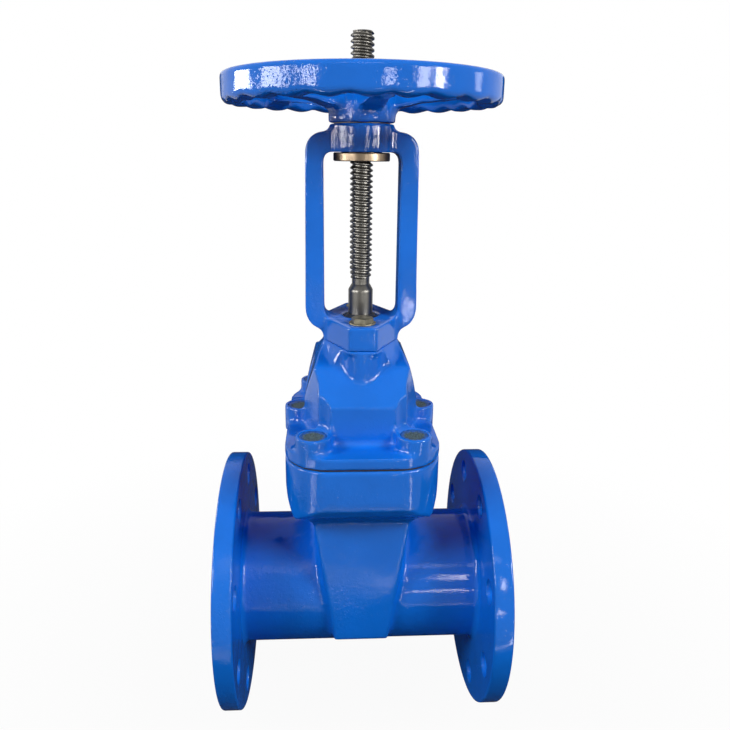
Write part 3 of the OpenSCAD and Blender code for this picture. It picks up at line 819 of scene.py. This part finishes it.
class VALVE_OT_stem(bpy.types.Operator):
    """Stem with a rolled left-hand thread"""
    bl_idname = "valve.stem"
    bl_label = "Stem"

    def execute(self, context):
        sizes = panel_sizes()
        shank_r = half_width("stem")
        end_r = shank_r - 1 * MM
        thread_r = 8.75 * MM
        neck_r = 7 * MM
        neck_edge = neck_r + 0.6 * MM
        chamfer = 1.6 * MM
        foot = low("stem").z
        shank = foot + 18 * MM
        shoulder = 265.5 * MM
        undercut = 5 * MM
        taper = shoulder - undercut
        thread_foot = shoulder + undercut
        neck_top = thread_foot + 3 * MM
        top = high("stem").z
        obj = thread("rolled_stem", sizes, thread_r, thread_foot, top - 0.01 * MM)
        # the thread runs out to the neck at its foot and is chamfered at its top
        run_out_rise, chamfer_rise = 0.09, 0.85
        for v in obj.data.vertices:
            run_out = neck_edge + (v.co.z - shoulder) * run_out_rise
            end = thread_r - chamfer + (top - v.co.z) * chamfer_rise
            reach = (v.co.xy - AXIS.xy).length
            v.co.xy = AXIS.xy + (v.co.xy - AXIS.xy) * min(1.0, run_out / reach, end / reach)
        profile = [(0, foot), (end_r - 1 * MM, foot), (end_r, foot + 1 * MM),
                   (end_r, shank), (shank_r, shank + 0.5 * MM),
                   (shank_r, taper - 1 * MM), (shank_r, taper + 0.6 * MM),
                   (shank_r - 0.4 * MM, taper + 1.4 * MM),
                   (neck_edge, shoulder - 0.4 * MM), (neck_r, shoulder + 0.3 * MM),
                   (neck_r, neck_top), (0, neck_top)]
        combine(obj, lathe(profile, 64), "UNION")
        close_slits(obj)
        dress(obj, "stainless_steel", "stem_and_gate", "stem")
        crease(obj, 40)
        return {"FINISHED"}


def close_slits(obj):
    """Closes the small openings that cutting a mesh can leave."""
    bm = bmesh.new()
    bm.from_mesh(obj.data)
    bmesh.ops.remove_doubles(bm, verts=[v for v in bm.verts if v.is_boundary], dist=0.01 * MM)
    bmesh.ops.holes_fill(bm, edges=[e for e in bm.edges if e.is_boundary], sides=0)
    bmesh.ops.recalc_face_normals(bm, faces=bm.faces)
    bm.to_mesh(obj.data)
    bm.free()


class VALVE_OT_drive(bpy.types.Operator):
    """Drive nut and lock nut"""
    bl_idname = "valve.drive"
    bl_label = "Drive nut"

    def execute(self, context):
        collar_r = half_width("drive_nut")
        neck_r = 15.5 * MM
        drive_r = 13 * MM
        bore_r = 10.05 * MM
        # the nut's own thread is shown as a plain bore, just wider than the stem's crests
        grip_r = bore_r - 0.99 * MM
        edge = 0.8 * MM
        collar = low("drive_nut").z
        collar_top = 365.7 * MM
        grip = 370 * MM
        wheel = 386.8 * MM
        top = high("drive_nut").z
        profile = [(bore_r + edge, collar), (collar_r - edge, collar),
                   (collar_r, collar + 0.6 * MM), (collar_r, collar_top - edge),
                   (collar_r - edge, collar_top),
                   (neck_r, collar_top), (neck_r, wheel - 0.05 * MM), (drive_r, wheel),
                   (drive_r, top - 1 * MM), (drive_r - 1 * MM, top), (bore_r - 0.6 * MM, top),
                   (grip_r, top - 0.6 * MM), (grip_r, grip + 0.5 * MM), (bore_r, grip),
                   (bore_r, collar + edge)]
        obj = loose_object("turned_drive_nut", lathe(profile, 96))
        dress(obj, "brass", "drive", "drive_nut")
        crease(obj, 30)
        nut = hexagon_head("lock_nut_hex", "lock_nut", AXIS, "drive", bore_r=drive_r + 0.05 * MM)
        crease(nut, 25)
        return {"FINISHED"}


def hexagon_head(name, node, centre, body, bottom=None, shank_r=0.0, bore_r=0.0, turn=0.0):
    """A forged hexagon with chamfered corners, as a nut or a bolt with its shank."""
    base = low(node).z if bottom is None else bottom
    top = high(node).z
    r = half_width(node)
    obj = loose_object(name, prism(centre, r, base, top, turn))
    flat = r * math.cos(math.pi / 6)
    rise = (r - flat) * 0.5
    # the cone that cuts the corners runs past both ends, so that no faces of the two coincide
    past = 0.5 * rise
    wide = r + 0.05 * MM
    top_r = wide - 1.5 * (wide - flat + 0.2 * MM)
    if bore_r:
        foot = [(wide - 1.5 * (wide - flat), base - past), (wide, base + rise)]
    else:
        foot = [(wide, base - past), (wide, base)]
    cone = [(0, base - past), *foot, (wide, top - rise), (top_r, top + past), (0, top + past)]
    combine(obj, lathe(cone, 72, centre), "INTERSECT")
    if bore_r:
        under, over = base - 5 * MM, top + 5 * MM
        bore = [(0, under), (bore_r, under), (bore_r, over), (0, over)]
        combine(obj, lathe(bore, 72, centre), "DIFFERENCE")
    if shank_r:
        tip = low(node).z
        edge = 0.8 * MM
        inside = base + 0.5 * MM
        shank = [(0, tip), (shank_r - edge, tip), (shank_r, tip + edge), (shank_r, inside),
                 (0, inside)]
        combine(obj, lathe(shank, 48, centre), "UNION")
    close_slits(obj)
    return dress(obj, "zinc_steel", body, node)


class VALVE_OT_fasteners(bpy.types.Operator):
    """Yoke bolts and their washers"""
    bl_idname = "valve.fasteners"
    bl_label = "Yoke bolts"

    def execute(self, context):
        for side, turn in (("front", 0.2), ("rear", 0.55)):
            washer = f"yoke_washer_{side}"
            centre = middle(washer)
            centre.z = 0
            bottom, top = low(washer).z, high(washer).z
            hole_r, r = 5.2 * MM, half_width(washer)
            profile = [(hole_r, bottom), (r, bottom), (r, top), (hole_r, top)]
            bm = lathe(rounded(profile, 0.7 * MM, 2), 64, centre)
            ring = loose_object(f"bevelled_{washer}", bm)
            dress(ring, "zinc_steel", "valve_body", washer)
            crease(ring, 35)
            bolt = hexagon_head(f"forged_yoke_bolt_{side}", f"yoke_bolt_{side}", centre,
                                "valve_body", bottom=top, shank_r=5 * MM, turn=turn)
            crease(bolt, 25)
        return {"FINISHED"}


class VALVE_OT_wax(bpy.types.Operator):
    """Sealing compound poured over the bonnet screws"""
    bl_idname = "valve.wax"
    bl_label = "Sealing compound"

    def execute(self, context):
        rings = 12
        dish = 1.0 * MM
        lump = 0.35 * MM
        for i in range(1, 7):
            node = f"screw_wax_{i}"
            centre = middle(node)
            centre.z = 0
            r = half_width(node)
            bottom, top = low(node).z, high(node).z
            profile = [(0, bottom), (r - 0.3 * MM, bottom), (r, bottom + 0.3 * MM), (r, top)]
            profile += [(r * k / rings, top - dish * (1 - (k / rings) ** 4))
                        for k in range(rings - 1, -1, -1)]
            bm = lathe(profile, 48, centre)
            for v in bm.verts:
                if v.co.z > top - 1.5 * MM and (v.co - centre).to_2d().length < r - 0.2 * MM:
                    v.co.z += lump * noise.noise(v.co * 350 + Vector((i, 0, 0)))
            obj = loose_object(f"poured_{node}", bm)
            # how far each point lies from the middle, for the paint over the edge
            rim = obj.data.attributes.new("rim", "FLOAT", "POINT")
            rim.data.foreach_set("value", [(v.co - centre).to_2d().length / r
                                           for v in obj.data.vertices])
            dress(obj, "sealing_wax", "valve_body", node)
        return {"FINISHED"}


class VALVE_OT_cad_finishes(bpy.types.Operator):
    """Finishes on the pieces whose CAD shape is shown as it is"""
    bl_idname = "valve.cad_finishes"
    bl_label = "Plain pieces"

    def execute(self, context):
        for part in frame["record"]["subparts"]:
            obj = frame["nodes"][part["node"]]
            obj.data.materials.clear()
            obj.data.materials.append(finish_of(part["material_slot"]))
        return {"FINISHED"}


# ---- Stage ----

class VALVE_OT_stage(bpy.types.Operator):
    """Floor, backdrop, lamps and camera"""
    bl_idname = "valve.stage"
    bl_label = "Stage"

    def execute(self, context):
        camera(context)
        world(context)
        floor(context)
        lamps(context)
        cards()
        context.scene.view_settings.view_transform = "Standard"
        return {"FINISHED"}


# The camera stands in front of the valve and looks down at it: focal length as a share of the
# sensor's width, its place from the stem's axis in metres, and its turns in radians.
CAMERA = {"focal": 0.9443836, "distance": 0.546, "height": 0.365, "side": 0.0042,
          "pitch": 0.2976, "turn": 0.0561, "roll": 0.0106}


def camera(context):
    """The camera that renders the stage."""
    data = bpy.data.cameras.new("camera")
    data.sensor_width = 36.0
    data.lens = data.sensor_width * CAMERA["focal"]
    data.clip_start = 0.01
    data.clip_end = 50.0
    obj = bpy.data.objects.new("camera", data)
    context.scene.collection.objects.link(obj)
    turned = Matrix.Rotation(-CAMERA["turn"], 4, "Z")
    place = Matrix.Translation(Vector((CAMERA["side"], -CAMERA["distance"], CAMERA["height"])))
    tilt = Matrix.Rotation(math.pi / 2 - CAMERA["pitch"], 4, "X")
    roll = Matrix.Rotation(CAMERA["roll"], 4, "Z")
    obj.matrix_world = Matrix.Translation(AXIS) @ turned @ place @ tilt @ roll
    context.scene.camera = obj


def white_to_eye(tree, lit, white, out, share=None):
    """Shows white to the eye, in reflections and through glass, and the lit shader otherwise.

    share, where it is given, is how much of what the eye sees is white."""
    path = tree.nodes.new("ShaderNodeLightPath")
    seen = None
    for ray in ("Is Camera Ray", "Is Glossy Ray", "Is Transmission Ray"):
        if seen is None:
            seen = path.outputs[ray]
            continue
        either = tree.nodes.new("ShaderNodeMath")
        either.operation = "MAXIMUM"
        tree.links.new(seen, either.inputs[0])
        tree.links.new(path.outputs[ray], either.inputs[1])
        seen = either.outputs[0]
    if share:
        part = tree.nodes.new("ShaderNodeMath")
        part.operation = "MULTIPLY"
        tree.links.new(seen, part.inputs[0])
        tree.links.new(share, part.inputs[1])
        seen = part.outputs[0]
    mix = tree.nodes.new("ShaderNodeMixShader")
    tree.links.new(seen, mix.inputs[0])
    tree.links.new(lit, mix.inputs[1])
    tree.links.new(white, mix.inputs[2])
    tree.links.new(mix.outputs[0], out.inputs[0])


def world(context):
    """Surroundings that look white and give a dim, cool light."""
    shell = bpy.data.worlds.new("studio")
    shell.use_nodes = True
    tree = shell.node_tree
    ground = next(n for n in tree.nodes if n.type == "BACKGROUND")
    ground.inputs["Color"].default_value = (0.80, 0.86, 1.0, 1)
    ground.inputs["Strength"].default_value = 0.05
    white = tree.nodes.new("ShaderNodeBackground")
    white.inputs["Strength"].default_value = 1.0
    white.inputs["Color"].default_value = (1, 1, 1, 1)
    out = next(n for n in tree.nodes if n.type == "OUTPUT_WORLD")
    white_to_eye(tree, ground.outputs[0], white.outputs[0], out)
    context.scene.world = shell


def floor(context):
    """A floor that looks white and keeps a soft shadow."""
    bm = bmesh.new()
    bmesh.ops.create_grid(bm, x_segments=1, y_segments=1, size=3.0)
    bmesh.ops.translate(bm, verts=bm.verts, vec=Vector((AXIS.x, 0, GROUND - 0.5 * MM)))
    obj = loose_object("floor", bm)
    shader = Shader("floor_white")
    tree = shader.tree
    shader.finish(base_color=(0.2, 0.2, 0.2, 1), roughness=0.9)
    out = next(n for n in tree.nodes if n.type == "OUTPUT_MATERIAL")
    glow = tree.nodes.new("ShaderNodeEmission")
    glow.inputs["Strength"].default_value = 1.0
    # near the valve a little of the lit floor stays, and with it the shadow
    offset = shader.add("ShaderNodeVectorMath", {"operation": "SUBTRACT"}, shader.place,
                        tuple(AXIS))
    reach = shader.add("ShaderNodeVectorMath", {"operation": "LENGTH"}, offset, output="Value")
    white_to_eye(tree, shader.surface.outputs[0], glow.outputs[0], out,
                 reach.clamped(0.12, 0.60, 0.95, 1.0).socket)
    obj.data.materials.append(shader.material)


# Upright softboxes round the valve, which only glossy surfaces show: name, bearing from the
# camera's side in degrees (positive to the right), half width in degrees, lowest and highest
# point, brightness.
STRIPS = (
    ("left_back", -103, 10, 0.43, 0.60, 34.0),
    ("left", -69, 11, 0.36, 0.70, 30.0),
    ("left_front", -38.5, 5.5, 0.36, 0.70, 40.0),
    ("front", 20.0, 3.6, 0.36, 0.56, 26.0),
    ("front_low", 14, 4.5, -0.06, -0.02, 40.0),
    ("right_front", 46, 5.5, 0.36, 0.70, 30.0),
    ("right", 59.5, 3.4, 0.36, 0.70, 80.0),
    ("right_back", 98, 4, 0.43, 0.60, 7.0),
    ("front_high", 0, 20, 1.00, 1.25, 4.0),
)
STRIP_DISTANCE = 1.25

# Strips of the same kind that lie on the floor: name, bearing, distance, half length, half width,
# brightness.
FLOOR_STRIPS = (
    ("table_left", -40, 0.69, 0.36, 0.018, 17.0),
    ("table_right", 40, 0.69, 0.36, 0.018, 17.0),
    ("table_front", 0, 0.258, 0.004, 0.20, 11.0),
)

# Soft lamps that light the paint and are not mirrored in it: name, bearing, height, half width,
# half height, brightness.
PANELS = (
    ("key_left", -55, 0.98, 0.30, 0.20, 22.0),
    ("key_right", 55, 0.98, 0.30, 0.20, 23.5),
    ("fill", 0, 0.45, 0.50, 0.50, 0.2),
    ("back_left", -150, 0.60, 0.30, 0.30, 3.5),
    ("back_right", 150, 0.60, 0.30, 0.30, 3.5),
)
PANEL_DISTANCE = 1.3
PANEL_AIM = 0.22

# Dark cards beyond the valve, seen only in reflections: name, bearing, distance and height of the
# middle, half width, half height, whether it stands.
CARDS = (
    ("back_card", 180, 1.5, 0.12, 0.95, 0.54, True),
    ("table_card", 180, 0.705, GROUND + 1 * MM, 0.50, 0.945, False),
)


def around(bearing, distance, height):
    """A place beside the valve at a bearing from the camera's side."""
    angle = math.radians(bearing) - CAMERA["turn"] - math.pi / 2
    return AXIS + Vector((math.cos(angle) * distance, math.sin(angle) * distance, height))


def facing(place, aim):
    """The place, turned to face the aim."""
    return Matrix.Translation(place) @ (place - aim).to_track_quat("Z", "Y").to_matrix().to_4x4()


def lamps(context):
    """The softboxes, the strips on the floor and the soft lamps."""
    for name, bearing, half, bottom, top, brightness in STRIPS:
        place = around(bearing, STRIP_DISTANCE, (bottom + top) / 2)
        width = 2 * STRIP_DISTANCE * math.tan(math.radians(half))
        upright = facing(place, AXIS + UP * place.z)
        obj = lamp(context, name, upright, width, top - bottom, brightness)
        obj.visible_diffuse = False
    for name, bearing, distance, half_length, half_width, brightness in FLOOR_STRIPS:
        place = around(bearing, distance, GROUND + 2 * MM)
        turn = Matrix.Rotation(math.atan2(place.y - AXIS.y, place.x - AXIS.x), 4, "Z")
        lying = Matrix.Translation(place) @ turn @ Matrix.Rotation(math.pi, 4, "X")
        obj = lamp(context, name, lying, 2 * half_length, 2 * half_width, brightness)
        obj.visible_diffuse = False
    for name, bearing, height, half_width, half_height, brightness in PANELS:
        aimed = facing(around(bearing, PANEL_DISTANCE, height), AXIS + UP * PANEL_AIM)
        obj = lamp(context, name, aimed, 2 * half_width, 2 * half_height, brightness)
        obj.visible_glossy = False


def lamp(context, name, place, width, height, brightness):
    """An area light whose surface shines with a brightness, where 1 is white."""
    data = bpy.data.lights.new(name, "AREA")
    data.shape = "RECTANGLE"
    data.size = width
    data.size_y = height
    data.energy = brightness * math.pi * width * height
    obj = bpy.data.objects.new(name, data)
    obj.matrix_world = place
    obj.visible_camera = False
    context.scene.collection.objects.link(obj)
    return obj


def cards():
    """The dark cards that the paint mirrors."""
    material = bpy.data.materials.new("card_black")
    material.use_nodes = True
    surface = next(n for n in material.node_tree.nodes if n.type == "BSDF_PRINCIPLED")
    surface.inputs["Base Color"].default_value = (0.01, 0.01, 0.012, 1)
    surface.inputs["Roughness"].default_value = 1.0
    for name, bearing, distance, height, half_width, half_height, stands in CARDS:
        place = around(bearing, distance, height)
        bm = bmesh.new()
        bmesh.ops.create_grid(bm, x_segments=1, y_segments=1, size=1.0)
        bmesh.ops.scale(bm, verts=bm.verts, vec=Vector((half_width, half_height, 1)))
        turned = facing(place, AXIS + UP * height) if stands else Matrix.Translation(place)
        bmesh.ops.transform(bm, verts=bm.verts, matrix=turned)
        obj = loose_object(name, bm)
        obj.data.materials.append(material)
        obj.visible_camera = obj.visible_diffuse = False
        obj.visible_transmission = obj.visible_shadow = False


class VALVE_PT_panel(bpy.types.Panel):
    """Lists the settings and the pieces"""
    bl_idname = "VALVE_PT_panel"
    bl_label = "Gate valve"
    bl_space_type = "VIEW_3D"
    bl_region_type = "UI"
    bl_category = "Valve"

    def draw(self, context):
        for group in (context.scene.valve_sizes, context.scene.valve_colours):
            for name in group.__annotations__:
                self.layout.prop(group, name)
        for operator in OPERATORS:
            self.layout.operator(operator.bl_idname)


OPERATORS = (VALVE_OT_cad_finishes, VALVE_OT_body, VALVE_OT_bonnet, VALVE_OT_yoke,
             VALVE_OT_handwheel, VALVE_OT_gate, VALVE_OT_stem, VALVE_OT_drive,
             VALVE_OT_fasteners, VALVE_OT_wax, VALVE_OT_stage)
CLASSES = (ValveSizes, ValveColours, *OPERATORS, VALVE_PT_panel)


def register():
    for cls in CLASSES:
        bpy.utils.register_class(cls)
    bpy.types.Scene.valve_sizes = bpy.props.PointerProperty(type=ValveSizes)
    bpy.types.Scene.valve_colours = bpy.props.PointerProperty(type=ValveColours)


def unregister():
    del bpy.types.Scene.valve_colours
    del bpy.types.Scene.valve_sizes
    for cls in reversed(CLASSES):
        bpy.utils.unregister_class(cls)


def main():
    register()
    for operator in OPERATORS:
        group, name = operator.bl_idname.split(".")
        getattr(getattr(bpy.ops, group), name)()


if __name__ == "__main__":
    main()
